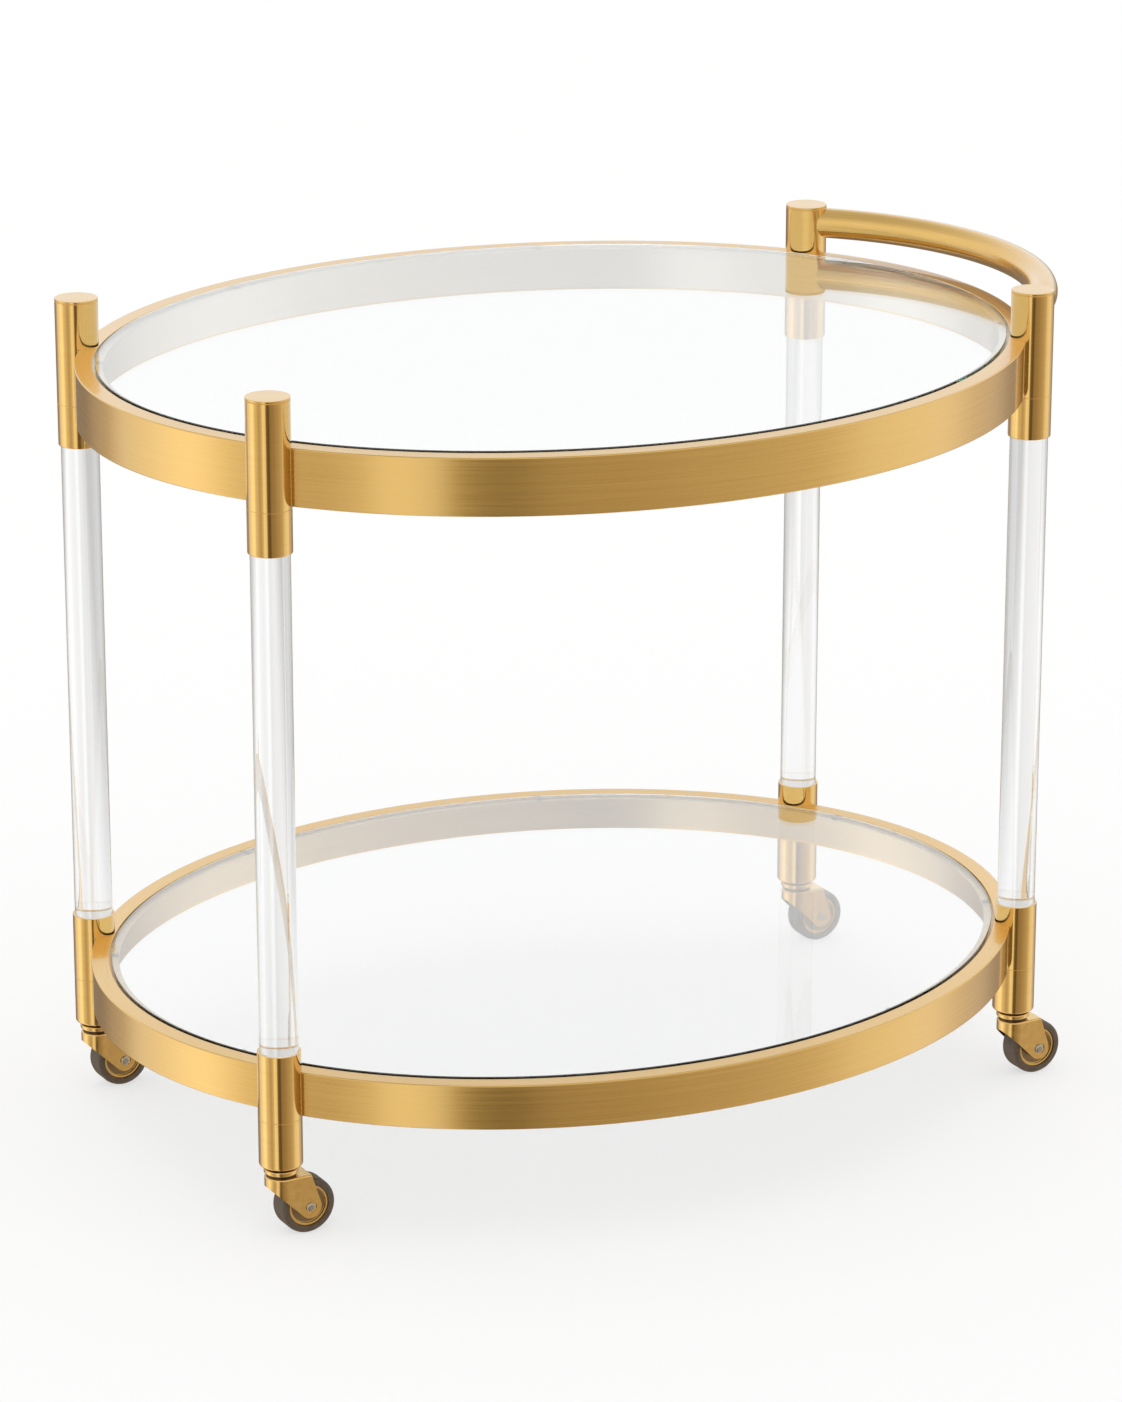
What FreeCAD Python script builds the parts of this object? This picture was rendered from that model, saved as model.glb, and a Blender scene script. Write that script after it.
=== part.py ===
import FreeCAD, Part
import math
import os
from FreeCAD import Vector

# An oval two-shelf bar cart. Two rolled brass hoops carry glass shelves. Four legs stand outside
# the hoops, each a clear acrylic rod held in turned brass sleeves, and run on swivel casters.
# A round bar bows out between the two right-hand posts as the handle.
# Frame: millimetres, +X towards the handle, +Y towards the back, +Z up, floor at Z = 0.

# ---- hoops, rolled from channel with the open side closed by the glass ledge ----
hoop_length = 866.0
hoop_depth = 732.0
hoop_wall = 16.0
band_gauge = 2.0
hoop_edge_radius = 1.0
top_rim_height = 700.0
top_hoop_height = 50.0
bottom_rim_height = 150.0
bottom_hoop_height = 40.0

# ---- glass shelves, which rest on bumpers on the ledges and stand a little above the rims ----
top_glass_thickness = 8.0
top_glass_proud = 1.0
bottom_glass_thickness = 6.0
bottom_glass_proud = 1.0
glass_gap = 2.0
glass_arris = 0.8
ledge_width = 9.0
ledge_gauge = 2.0
bumper_count = 8
bumper_diameter = 6.0
bumper_height = 1.5

# ---- posts and rods ----
post_angle = 31.0
post_diameter = 38.0
post_above_rim = 43.0
hoop_left_inside_post = 1.0
lip_under_hoop = 1.5
socket_length = 38.5
socket_web = 3.0
mouth_above_rim = 19.0
sleeve_wall = 4.0
sleeve_web = 16.0
edge_break = 0.4
mouth_edge = 1.0
foot_edge = 1.8
rod_diameter = 34.0
rod_clearance = 0.15
rod_below_mouth = 0.8
seat_thickness = 5.0

# ---- post caps ----
cap_thickness = 1.5
cap_reveal = 0.8
cap_reveal_depth = 1.0
cap_clear_of_bolt = 1.0

# ---- screws inside the legs ----
screw_diameter = 6.0
screw_head_diameter = 10.0
screw_head_height = 6.0
screw_grip_in_rod = 20.0
seat_floor = 1.0
wall_between_holes = 1.0

# ---- handle ----
handle_diameter = 28.0
handle_tube_wall = 2.5
handle_bow = 86.0
handle_below_cap = 3.0
plug_length = 16.0
bolt_diameter = 8.0
bolt_head_diameter = 13.0
bolt_head_height = 6.0
bolt_end_cover = 3.0

# ---- casters ----
wheel_diameter = 50.0
tyre_width = 22.0
tyre_shoulder = 3.0
hub_diameter = 37.0
hub_rim_width = 2.2
hub_rim_recess = 1.5
hub_web_recess = 3.5
hub_boss_diameter = 13.0
hub_end_clearance = 0.3
running_clearance = 0.05
caster_trail = 21.0
fork_gauge = 2.0
fork_side_gap = 1.5
crown_gap = 3.0
crown_length = 22.0
crown_edge_radius = 1.6
nose_skirt = 9.0
lobe_radius = 10.0
axle_diameter = 6.0
axle_head_diameter = 8.6
axle_head_height = 2.2
axle_hole_dish_diameter = 11.0
axle_hole_dish_depth = 1.0
kingpin_diameter = 8.0
kingpin_head_diameter = 12.0
kingpin_head_height = 2.0
kingpin_end_play = 0.3
stem_diameter = 10.0
stem_grip = 20.0
ball_diameter = 3.0
ball_count = 12
ball_circle_diameter = 19.0
ball_clearance = 0.15
lower_race_diameter = 26.0
lower_race_height = 2.2
race_gap = 0.6
upper_race_diameter = 30.0
upper_race_height = 4.2
upper_race_edge = 1.0
neck_diameter = 22.0
neck_height = 3.0

# ---- worked out from the sizes above ----
UP = Vector(0, 0, 1)
post_radius = post_diameter / 2
rod_radius = rod_diameter / 2
bore_radius = post_radius - sleeve_wall
handle_radius = handle_diameter / 2
handle_bore_radius = handle_radius - handle_tube_wall
screw_radius = screw_diameter / 2
bolt_radius = bolt_diameter / 2
stem_radius = stem_diameter / 2
wheel_radius = wheel_diameter / 2
axle_radius = axle_diameter / 2
kingpin_radius = kingpin_diameter / 2
ball_radius = ball_diameter / 2
fork_half_width = tyre_width / 2 + fork_side_gap + fork_gauge

# the post stands so far outside the hoop that its inner side stops within the hoop's wall
post_offset = post_radius - (hoop_wall - hoop_left_inside_post)
glass_inset = hoop_wall + glass_gap

# heights of the posts
top_hoop_bottom = top_rim_height - top_hoop_height
bottom_hoop_bottom = bottom_rim_height - bottom_hoop_height
cap_top = top_rim_height + post_above_rim
sleeve_top = cap_top - cap_thickness - cap_reveal
upper_seam = top_hoop_bottom - lip_under_hoop
sleeve_floor = upper_seam + sleeve_web
socket_bottom = upper_seam - socket_length
rod_top = upper_seam - socket_web
mouth_height = bottom_rim_height + mouth_above_rim
rod_bottom = mouth_height - rod_below_mouth
seat_bottom = rod_bottom - seat_thickness
lower_seam = bottom_hoop_bottom - lip_under_hoop

# heights of the casters
crown_bottom = wheel_diameter + crown_gap
crown_top = crown_bottom + fork_gauge
lower_race_top = crown_top + lower_race_height
upper_race_bottom = lower_race_top + race_gap
upper_race_top = upper_race_bottom + upper_race_height
foot_bottom = upper_race_top + neck_height
ball_height = (lower_race_top + upper_race_bottom) / 2

# floor plan of the posts and the handle's arc
post_turn = math.radians(post_angle)
normal = Vector(hoop_depth * math.cos(post_turn), hoop_length * math.sin(post_turn), 0).normalize()
post_reach = hoop_length / 2 * math.cos(post_turn) + normal.x * post_offset
post_half_spread = hoop_depth / 2 * math.sin(post_turn) + normal.y * post_offset
hoop_x = (hoop_length / 2 - post_reach - handle_bow - handle_radius) / 2
handle_arc_radius = (post_half_spread ** 2 + handle_bow ** 2) / (2 * handle_bow)
handle_centre = Vector(hoop_x + post_reach + handle_bow - handle_arc_radius, 0,
                       cap_top - handle_below_cap - handle_radius)
handle_half_turn = math.degrees(math.asin(post_half_spread / handle_arc_radius))

# the caps' spigots stop above the handle bolts' heads
spigot_bottom = handle_centre.z + bolt_head_diameter / 2 + cap_clear_of_bolt

CORNERS = {"front_left": (-1, -1), "front_right": (1, -1), "back_left": (-1, 1), "back_right": (1, 1)}


def cylinder(radius, low, high, spot=Vector()):
    """An upright round bar between two heights, over a spot on the floor plan."""
    return Part.makeCylinder(radius, high - low, Vector(spot.x, spot.y, low))


def turned(profile, spot=Vector()):
    """A lathe-turned piece: corners given as (radius, height), carried once round an upright axis."""
    corners = [Vector(spot.x + radius, spot.y, height) for radius, height in profile]
    face = Part.Face(Part.makePolygon(corners + corners[:1]))
    return face.revolve(Vector(spot.x, spot.y, 0), UP, 360)


def oval(inset, low, high):
    """A slab with the hoops' outside outline moved in by inset."""
    along_x = hoop_length / 2 - inset
    along_y = hoop_depth / 2 - inset
    outline = Part.Ellipse(Vector(0, 0, low), max(along_x, along_y), min(along_x, along_y)).toShape()
    if along_y > along_x:
        outline.rotate(Vector(), UP, 90)
    outline.translate(Vector(hoop_x, 0, 0))
    return Part.Face(Part.Wire(outline)).extrude(UP * (high - low))


def oval_ring(outer_inset, inner_inset, low, high):
    """A flat-sided ring that follows the hoops' outline between two insets."""
    return oval(outer_inset, low, high).cut(oval(inner_inset, low, high))


def level_edges(shape, height):
    """The edges of a shape that lie flat at one height."""
    tolerance = 1e-4
    return [edge for edge in shape.Edges
            if abs(edge.BoundBox.ZMin - height) < tolerance and abs(edge.BoundBox.ZMax - height) < tolerance]


def post_spot(corner):
    """The floor-plan place of a corner's post and caster."""
    side_x, side_y = CORNERS[corner]
    return Vector(hoop_x + side_x * post_reach, side_y * post_half_spread, 0)


def outward(corner):
    """The floor-plan direction that points away from the hoop at a corner's post."""
    side_x, side_y = CORNERS[corner]
    return Vector(side_x * normal.x, side_y * normal.y, 0)


# ---- shelves ----
def hoop(rim, height):
    """A channel-section hoop, open towards the inside, with rounded outside edges."""
    low = rim - height
    band = oval_ring(0, hoop_wall, low, rim)
    band = band.makeFillet(hoop_edge_radius, level_edges(band, low) + level_edges(band, rim))
    hollow = oval_ring(band_gauge, hoop_wall + band_gauge, low + band_gauge, rim - band_gauge)
    return band.cut(hollow)


def ledge(rim, height, glass_bottom):
    """The angle ring that closes a hoop's channel and holds the glass bumpers on its flange."""
    ledge_top = glass_bottom - bumper_height
    wall = oval_ring(hoop_wall - band_gauge, hoop_wall, rim - height + band_gauge, rim - band_gauge)
    flange = oval_ring(hoop_wall, hoop_wall + ledge_width, ledge_top - ledge_gauge, ledge_top)
    return wall.fuse(flange).removeSplitter()


def glass(bottom, thickness):
    """A shelf glass with its top and bottom edges eased."""
    pane = oval(glass_inset, bottom, bottom + thickness)
    return pane.makeChamfer(glass_arris, level_edges(pane, bottom) + level_edges(pane, bottom + thickness))


def bumpers(glass_bottom):
    """Small clear discs, evenly spaced round the ledge under the glass."""
    inset = hoop_wall + ledge_width / 2 + glass_gap / 2
    discs = []
    for number in range(bumper_count):
        turn = math.tau * (number + 0.5) / bumper_count
        spot = Vector(hoop_x + (hoop_length / 2 - inset) * math.cos(turn),
                      (hoop_depth / 2 - inset) * math.sin(turn), 0)
        discs.append(cylinder(bumper_diameter / 2, glass_bottom - bumper_height, glass_bottom, spot))
    return Part.makeCompound(discs)


# ---- legs ----
def upper_screw_spot(corner):
    """The rod screw passes midway between the hoop and the post's outer side."""
    return post_spot(corner) + outward(corner) * ((post_radius - post_offset) / 2)


def lower_screw_spot(corner):
    """The foot screw passes beside the caster stem, on the side away from the hoop."""
    beside_stem = stem_radius + screw_head_diameter / 2 + wall_between_holes
    return post_spot(corner) + outward(corner) * beside_stem


def post_cap(corner):
    """A thin disc over a narrower neck, with a spigot that fits the sleeve's bore."""
    shoulder = cap_top - cap_thickness
    neck = post_radius - cap_reveal_depth
    return turned([(0, cap_top), (post_radius - edge_break, cap_top), (post_radius, cap_top - edge_break),
                   (post_radius, shoulder), (neck, shoulder), (neck, sleeve_top), (bore_radius, sleeve_top),
                   (bore_radius, spigot_bottom), (0, spigot_bottom)], post_spot(corner))


def upper_sleeve(corner):
    """The brass tube above the seam, cut away where the top hoop runs through it."""
    spot = post_spot(corner)
    body = turned([(0, upper_seam), (post_radius - edge_break, upper_seam),
                   (post_radius, upper_seam + edge_break), (post_radius, sleeve_top - edge_break),
                   (post_radius - edge_break, sleeve_top), (bore_radius, sleeve_top),
                   (bore_radius, sleeve_floor), (0, sleeve_floor)], spot)
    body = body.cut(oval_ring(0, hoop_wall, top_hoop_bottom, top_rim_height))
    body = body.cut(cylinder(screw_radius, upper_seam, sleeve_floor, upper_screw_spot(corner)))
    if CORNERS[corner][0] > 0:
        body = body.cut(handle_bolt(corner))
    return body


def rod_socket(corner):
    """The brass cup that the top of the rod fits into."""
    bore = rod_radius + rod_clearance
    cup = turned([(bore, socket_bottom), (post_radius - mouth_edge, socket_bottom),
                  (post_radius, socket_bottom + mouth_edge), (post_radius, upper_seam - edge_break),
                  (post_radius - edge_break, upper_seam), (0, upper_seam), (0, rod_top), (bore, rod_top)],
                 post_spot(corner))
    return cup.cut(cylinder(screw_radius, rod_top, upper_seam, upper_screw_spot(corner)))


def acrylic_rod(corner):
    """The clear rod, drilled at its top end for the rod screw."""
    bar = cylinder(rod_radius, rod_bottom, rod_top, post_spot(corner))
    return bar.cut(cylinder(screw_radius, rod_top - screw_grip_in_rod, rod_top, upper_screw_spot(corner)))


def rod_seat(corner):
    """The bright disc bonded under the rod, drilled from below for the foot screw."""
    disc = cylinder(rod_radius, seat_bottom, rod_bottom, post_spot(corner))
    return disc.cut(cylinder(screw_radius, seat_bottom, rod_bottom - seat_floor, lower_screw_spot(corner)))


def lower_sleeve(corner):
    """The brass sleeve at the lower shelf, recessed on top for the rod and cut away for the hoop."""
    bore = rod_radius + rod_clearance
    body = turned([(0, lower_seam), (post_radius - edge_break, lower_seam),
                   (post_radius, lower_seam + edge_break), (post_radius, mouth_height - edge_break),
                   (post_radius - edge_break, mouth_height), (bore, mouth_height),
                   (bore, seat_bottom), (0, seat_bottom)], post_spot(corner))
    body = body.cut(oval_ring(0, hoop_wall, bottom_hoop_bottom, bottom_rim_height))
    return body.cut(cylinder(screw_radius, lower_seam, seat_bottom, lower_screw_spot(corner)))


def foot_collar(corner):
    """The brass foot, with the caster stem's hole and the foot screw's counterbored hole."""
    body = turned([(0, foot_bottom), (post_radius - foot_edge, foot_bottom),
                   (post_radius, foot_bottom + foot_edge), (post_radius, lower_seam - edge_break),
                   (post_radius - edge_break, lower_seam), (0, lower_seam)], post_spot(corner))
    body = body.cut(cylinder(stem_radius, foot_bottom, foot_bottom + stem_grip, post_spot(corner)))
    return body.cut(lower_rod_screw(corner))


def upper_rod_screw(corner):
    """A cap screw from the sleeve's floor down into the rod."""
    spot = upper_screw_spot(corner)
    shank = cylinder(screw_radius, rod_top - screw_grip_in_rod, sleeve_floor, spot)
    head = cylinder(screw_head_diameter / 2, sleeve_floor, sleeve_floor + screw_head_height, spot)
    return shank.fuse(head).removeSplitter()


def lower_rod_screw(corner):
    """A long cap screw from under the foot up into the rod's seat."""
    spot = lower_screw_spot(corner)
    shank = cylinder(screw_radius, foot_bottom + screw_head_height, rod_bottom - seat_floor, spot)
    head = cylinder(screw_head_diameter / 2, foot_bottom, foot_bottom + screw_head_height, spot)
    return shank.fuse(head).removeSplitter()


# ---- handle ----
def handle_arc(radius, from_end, to_end, corner):
    """A curved bar along the handle's arc, between two distances from a corner's post axis."""
    side = CORNERS[corner][1]
    start = side * (handle_half_turn - math.degrees(from_end / handle_arc_radius))
    sweep = -side * math.degrees((to_end - from_end) / handle_arc_radius)
    section = Part.Circle(handle_centre + Vector(handle_arc_radius, 0, 0), Vector(0, 1, 0), radius)
    face = Part.Face(Part.Wire(section.toShape()))
    face.rotate(handle_centre, UP, start)
    return face.revolve(handle_centre, UP * math.copysign(1, sweep), abs(sweep))


def post_core(corner):
    """The whole round of a post, used to shape what butts against it."""
    return cylinder(post_radius, socket_bottom, cap_top, post_spot(corner))


def handle_bar():
    """A bent tube with both ends shaped to sit against the posts."""
    whole = math.radians(2 * handle_half_turn) * handle_arc_radius
    bar = handle_arc(handle_radius, 0, whole, "front_right")
    bar = bar.cut(handle_arc(handle_bore_radius, 0, whole, "front_right"))
    return bar.cut(post_core("front_right")).cut(post_core("back_right"))


def handle_plug(corner):
    """The filler inside a handle end, which the bolt screws into."""
    plug = handle_arc(handle_bore_radius, 0, post_radius + plug_length, corner)
    return plug.cut(post_core(corner)).cut(handle_bolt(corner))


def handle_bolt(corner):
    """A bolt from inside a post, through its wall and into the handle's plug."""
    axis_foot = post_spot(corner) + UP * handle_centre.z
    towards = math.radians(handle_half_turn) - (post_radius + plug_length / 2) / handle_arc_radius
    aim = handle_centre + Vector(handle_arc_radius * math.cos(towards),
                                 CORNERS[corner][1] * handle_arc_radius * math.sin(towards), 0)
    along = (aim - axis_foot).normalize()
    bolt_length = post_radius + plug_length - bolt_end_cover
    head = Part.makeCylinder(bolt_head_diameter / 2, bore_radius, axis_foot, along)
    head = head.cut(Part.makeCylinder(bolt_head_diameter, bore_radius - bolt_head_height, axis_foot, along))
    head = head.common(cylinder(bore_radius, sleeve_floor, sleeve_top, post_spot(corner)))
    shank = Part.makeCylinder(bolt_radius, bolt_length, axis_foot, along)
    shank = shank.cut(Part.makeCylinder(bolt_head_diameter, bore_radius - bolt_head_height, axis_foot, along))
    return shank.fuse(head).removeSplitter()


# ---- casters, built round a swivel axis at the origin with the wheel trailing towards +X ----
def caster_stem():
    """The fixed pivot: threaded stem, neck, kingpin and the riveted head under the fork."""
    head_top = crown_bottom - kingpin_end_play
    head_bottom = head_top - kingpin_head_height
    return turned([(0, foot_bottom + stem_grip), (stem_radius, foot_bottom + stem_grip),
                   (stem_radius, foot_bottom), (neck_diameter / 2, foot_bottom),
                   (neck_diameter / 2, upper_race_top), (kingpin_radius, upper_race_top),
                   (kingpin_radius, head_top), (kingpin_head_diameter / 2, head_top),
                   (kingpin_head_diameter / 2, head_bottom), (0, head_bottom)])


def race_groove(radius):
    """The round channel that the balls run in."""
    return Part.makeTorus(ball_circle_diameter / 2, radius, Vector(0, 0, ball_height))


def race_cup():
    """The fixed upper race on the neck of the stem."""
    outer = upper_race_diameter / 2
    ring = turned([(kingpin_radius, upper_race_bottom), (outer - upper_race_edge, upper_race_bottom),
                   (outer, upper_race_bottom + upper_race_edge), (outer, upper_race_top - upper_race_edge),
                   (outer - upper_race_edge, upper_race_top), (kingpin_radius, upper_race_top)])
    return ring.cut(race_groove(ball_radius + ball_clearance))


def ball_race():
    """The lower race on the fork's crown, with its ring of balls."""
    bore = kingpin_radius + running_clearance
    ring = turned([(bore, crown_top), (lower_race_diameter / 2, crown_top),
                   (lower_race_diameter / 2, lower_race_top), (bore, lower_race_top)])
    pieces = [ring.cut(race_groove(ball_radius))]
    for number in range(ball_count):
        turn = math.tau * number / ball_count
        spot = Vector(math.cos(turn), math.sin(turn), 0) * (ball_circle_diameter / 2)
        pieces.append(Part.makeSphere(ball_radius, spot + UP * ball_height))
    return Part.makeCompound(pieces)


def touch_point(corner_x, corner_z, turn_side):
    """Where a straight edge from a corner meets the axle lobe without crossing it."""
    away_x = corner_x - caster_trail
    away_z = corner_z - wheel_radius
    distance = math.hypot(away_x, away_z)
    heading = math.atan2(away_z, away_x) + turn_side * math.acos(lobe_radius / distance)
    return Vector(caster_trail + lobe_radius * math.cos(heading), 0,
                  wheel_radius + lobe_radius * math.sin(heading))


def stadium(half_width, low, high):
    """A slab with a round nose over the swivel axis and straight sides that run past the wheel."""
    length = caster_trail + wheel_radius
    nose = cylinder(half_width, low, high)
    sides = Part.makeBox(length, 2 * half_width, high - low, Vector(0, -half_width, low))
    return nose.fuse(sides).removeSplitter()


def caster_fork():
    """A pressed fork: round-nosed crown and two side plates that narrow to a lobe at the axle."""
    shell = stadium(fork_half_width, 0, crown_top)
    shell = shell.makeFillet(crown_edge_radius, level_edges(shell, crown_top))
    back_touch = touch_point(crown_length, crown_top, -1)
    front_touch = touch_point(-fork_half_width, crown_top - nose_skirt, 1)
    lobe_foot = Vector(caster_trail, 0, wheel_radius - lobe_radius)
    outline = [Part.makeLine(Vector(-fork_half_width, 0, crown_top), Vector(crown_length, 0, crown_top)),
               Part.makeLine(Vector(crown_length, 0, crown_top), back_touch),
               Part.Arc(back_touch, lobe_foot, front_touch).toShape(),
               Part.makeLine(front_touch, Vector(-fork_half_width, 0, crown_top - nose_skirt)),
               Part.makeLine(Vector(-fork_half_width, 0, crown_top - nose_skirt),
                             Vector(-fork_half_width, 0, crown_top))]
    side_view = Part.Face(Part.Wire(outline))
    side_view.translate(Vector(0, -fork_half_width, 0))
    shell = shell.common(side_view.extrude(Vector(0, 2 * fork_half_width, 0)))
    shell = shell.cut(stadium(fork_half_width - fork_gauge, 0, crown_bottom))
    shell = shell.cut(cylinder(kingpin_radius + running_clearance, crown_bottom, crown_top))
    return shell.cut(axle_holes())


def across(radius, low, high):
    """A round bar along the axle, between two distances from the wheel's middle."""
    return Part.makeCylinder(radius, high - low, Vector(caster_trail, low, wheel_radius), Vector(0, 1, 0))


def axle_holes():
    """The axle's holes in the side plates, with a shallow dish round each."""
    hole = across(axle_radius, -fork_half_width, fork_half_width)
    dish_floor = fork_half_width - axle_hole_dish_depth
    near = across(axle_hole_dish_diameter / 2, -fork_half_width, -dish_floor)
    far = across(axle_hole_dish_diameter / 2, dish_floor, fork_half_width)
    return hole.fuse(near).fuse(far)


def on_axle(shape):
    """Lays a piece that was turned about the upright axis on its side at the axle."""
    shape.rotate(Vector(), Vector(1, 0, 0), 90)
    shape.translate(Vector(caster_trail, 0, wheel_radius))
    return shape


def axle():
    """The riveted axle, with a head in each dish."""
    dish_floor = fork_half_width - axle_hole_dish_depth
    head_radius = axle_head_diameter / 2
    head_end = dish_floor + axle_head_height
    near_side = [(0, head_end), (head_radius - edge_break, head_end), (head_radius, head_end - edge_break),
                 (head_radius, dish_floor), (axle_radius, dish_floor)]
    far_side = [(radius, -height) for radius, height in reversed(near_side)]
    return on_axle(turned(near_side + far_side))


def wheel_tyre():
    """The rubber tread ring with rounded shoulders."""
    half = tyre_width / 2
    tread = cylinder(wheel_radius, -half, half)
    tread = tread.makeFillet(tyre_shoulder, level_edges(tread, -half) + level_edges(tread, half))
    return on_axle(tread.cut(cylinder(hub_diameter / 2, -half, half)))


def wheel_hub():
    """The hub: a raised rim, a dished web and a boss that runs on the axle."""
    half = tyre_width / 2
    rim_half = half - hub_rim_recess
    web_half = half - hub_web_recess
    boss_half = half + fork_side_gap - hub_end_clearance
    bore = axle_radius + running_clearance
    boss = hub_boss_diameter / 2
    rim_inside = hub_diameter / 2 - hub_rim_width
    near_side = [(bore, boss_half), (boss, boss_half), (boss, web_half), (rim_inside, web_half),
                 (rim_inside, rim_half), (hub_diameter / 2, rim_half)]
    far_side = [(radius, -height) for radius, height in reversed(near_side)]
    return on_axle(turned(near_side + far_side))


def at_corner(shape, corner):
    """Moves a caster piece from the origin to a corner's swivel axis."""
    shape.translate(post_spot(corner))
    return shape


def group(make_piece, corners=tuple(CORNERS)):
    """One node for a set of identical separate pieces, one at each corner."""
    return Part.makeCompound([make_piece(corner) for corner in corners])


def all_nodes():
    """Every node's name and shape."""
    top_glass_bottom = top_rim_height + top_glass_proud - top_glass_thickness
    bottom_glass_bottom = bottom_rim_height + bottom_glass_proud - bottom_glass_thickness
    right_corners = ("front_right", "back_right")
    nodes = {
        "top_hoop": hoop(top_rim_height, top_hoop_height),
        "top_glass_ledge": ledge(top_rim_height, top_hoop_height, top_glass_bottom),
        "top_glass": glass(top_glass_bottom, top_glass_thickness),
        "top_glass_bumpers": bumpers(top_glass_bottom),
        "bottom_hoop": hoop(bottom_rim_height, bottom_hoop_height),
        "bottom_glass_ledge": ledge(bottom_rim_height, bottom_hoop_height, bottom_glass_bottom),
        "bottom_glass": glass(bottom_glass_bottom, bottom_glass_thickness),
        "bottom_glass_bumpers": bumpers(bottom_glass_bottom),
        "handle_bar": handle_bar(),
        "handle_plugs": group(handle_plug, right_corners),
        "handle_bolts": group(handle_bolt, right_corners),
        "upper_rod_screws": group(upper_rod_screw),
        "lower_rod_screws": group(lower_rod_screw),
        "rod_seats": group(rod_seat),
        "caster_stems": group(lambda corner: at_corner(caster_stem(), corner)),
        "caster_race_cups": group(lambda corner: at_corner(race_cup(), corner)),
    }
    leg_pieces = {"post_cap": post_cap, "upper_sleeve": upper_sleeve, "rod_socket": rod_socket,
                  "acrylic_rod": acrylic_rod, "lower_sleeve": lower_sleeve, "foot_collar": foot_collar}
    caster_pieces = {"caster_fork": caster_fork, "ball_race": ball_race, "axle": axle,
                     "wheel_hub": wheel_hub, "wheel_tyre": wheel_tyre}
    for corner in CORNERS:
        for piece, make_piece in leg_pieces.items():
            nodes[f"{corner}_{piece}"] = make_piece(corner)
        for piece, make_piece in caster_pieces.items():
            nodes[f"{corner}_{piece}"] = at_corner(make_piece(), corner)
    return nodes


os.makedirs("parts", exist_ok=True)
for node, shape in all_nodes().items():
    shape.exportStep(f"parts/{node}.step")
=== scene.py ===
import math

import bmesh
import bpy
import numpy as np
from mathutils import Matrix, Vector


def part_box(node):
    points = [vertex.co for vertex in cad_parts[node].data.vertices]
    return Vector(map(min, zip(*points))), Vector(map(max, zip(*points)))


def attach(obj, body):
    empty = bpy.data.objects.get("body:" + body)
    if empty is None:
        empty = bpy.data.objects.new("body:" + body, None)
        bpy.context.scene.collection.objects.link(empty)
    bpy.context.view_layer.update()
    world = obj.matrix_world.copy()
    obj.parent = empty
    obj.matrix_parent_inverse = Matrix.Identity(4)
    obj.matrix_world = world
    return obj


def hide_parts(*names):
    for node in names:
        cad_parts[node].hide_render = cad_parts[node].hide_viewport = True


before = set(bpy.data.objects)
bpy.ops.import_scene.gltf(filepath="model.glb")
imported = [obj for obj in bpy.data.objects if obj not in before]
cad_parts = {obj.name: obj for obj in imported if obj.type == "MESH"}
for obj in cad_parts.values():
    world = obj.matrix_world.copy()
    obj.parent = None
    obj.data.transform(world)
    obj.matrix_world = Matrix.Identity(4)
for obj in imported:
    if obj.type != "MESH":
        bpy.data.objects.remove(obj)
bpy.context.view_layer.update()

# An oval bar cart: two brass hoops with glass shelves on four clear legs in brass sleeves, with casters.
# Metres. +X is the push bar's end, -Y the front, +Z up. Sizes come from the frame's boxes; only the
# small roundings and wall thicknesses that a box can't show are named here.

CORNERS = ("front_left", "front_right", "back_left", "back_right")

# ---- small sizes, in metres: shelves ----
band_gauge = 0.002
hoop_edge = 0.0012
glass_edge = 0.0008
ledge_width = 0.009
bumper_count = 8
bumper_radius = 0.003
bumper_edge = 0.0004
# The air left between a bumper and the glass, because two faces in one place trap light.
film = 0.00005

# ---- legs and push bar ----
fine_edge = 0.0003
sleeve_wall = 0.004
mouth_edge = 0.0010
foot_edge = 0.0018
cap_disc = 0.0015
cap_reveal = 0.0008
cap_reveal_depth = 0.0010
cap_edge = 0.00048
screw_head = 0.006
rod_clearance = 0.00015
# How far a seat reaches into its rod.
bond = 0.0001
handle_wall = 0.0025

# ---- casters ----
stem_radius = 0.005
stem_edge = 0.0005
neck_radius = 0.011
kingpin_radius = 0.004
kingpin_head = 0.002
kingpin_head_radius = 0.006
kingpin_head_edge = 0.0008
race_edge = 0.0010
lower_race_top = 0.0572
running_gap = 0.00005
axle_radius = 0.003
axle_head = 0.0022
axle_head_flat = 0.72
axle_head_side = 0.45
axle_crown_edge = 0.002
axle_side_edge = 0.0006
tyre_shoulder = 0.0034
tyre_foot_edge = 0.0005
hub_rim = 0.0022
hub_rim_recess = 0.0015
hub_web_recess = 0.0035
hub_boss = 0.0065
hub_boss_edge = 0.0004
hub_web_edge = 0.0006
hub_web_fillet = 0.0008
hub_face_edge = 0.0005
hub_rim_edge = 0.0004

# ---- how finely a curve is divided ----
round_post_columns = 96
small_columns = 24
axle_columns = 48
hoop_columns = 360
notch_samples = 7201
handle_rows = 120
handle_columns = 64
arc_steps = 4
merge_distance = 1e-6
sharp_angle = math.radians(32)


# ======== measuring the frame ========
def low(node):
    """A node's lowest corner as an array."""
    return np.array(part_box(node)[0])


def high(node):
    """A node's highest corner as an array."""
    return np.array(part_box(node)[1])


def middle(node):
    """The middle of a node's box."""
    return (low(node) + high(node)) / 2


def half_size(node):
    """Half of a node's box along each axis."""
    return (high(node) - low(node)) / 2


hoop_middle = middle("top_hoop")
hoop_half = half_size("top_hoop")
post_radius = half_size("front_left_upper_sleeve")[0]
rod_radius = half_size("front_left_acrylic_rod")[0]


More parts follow.
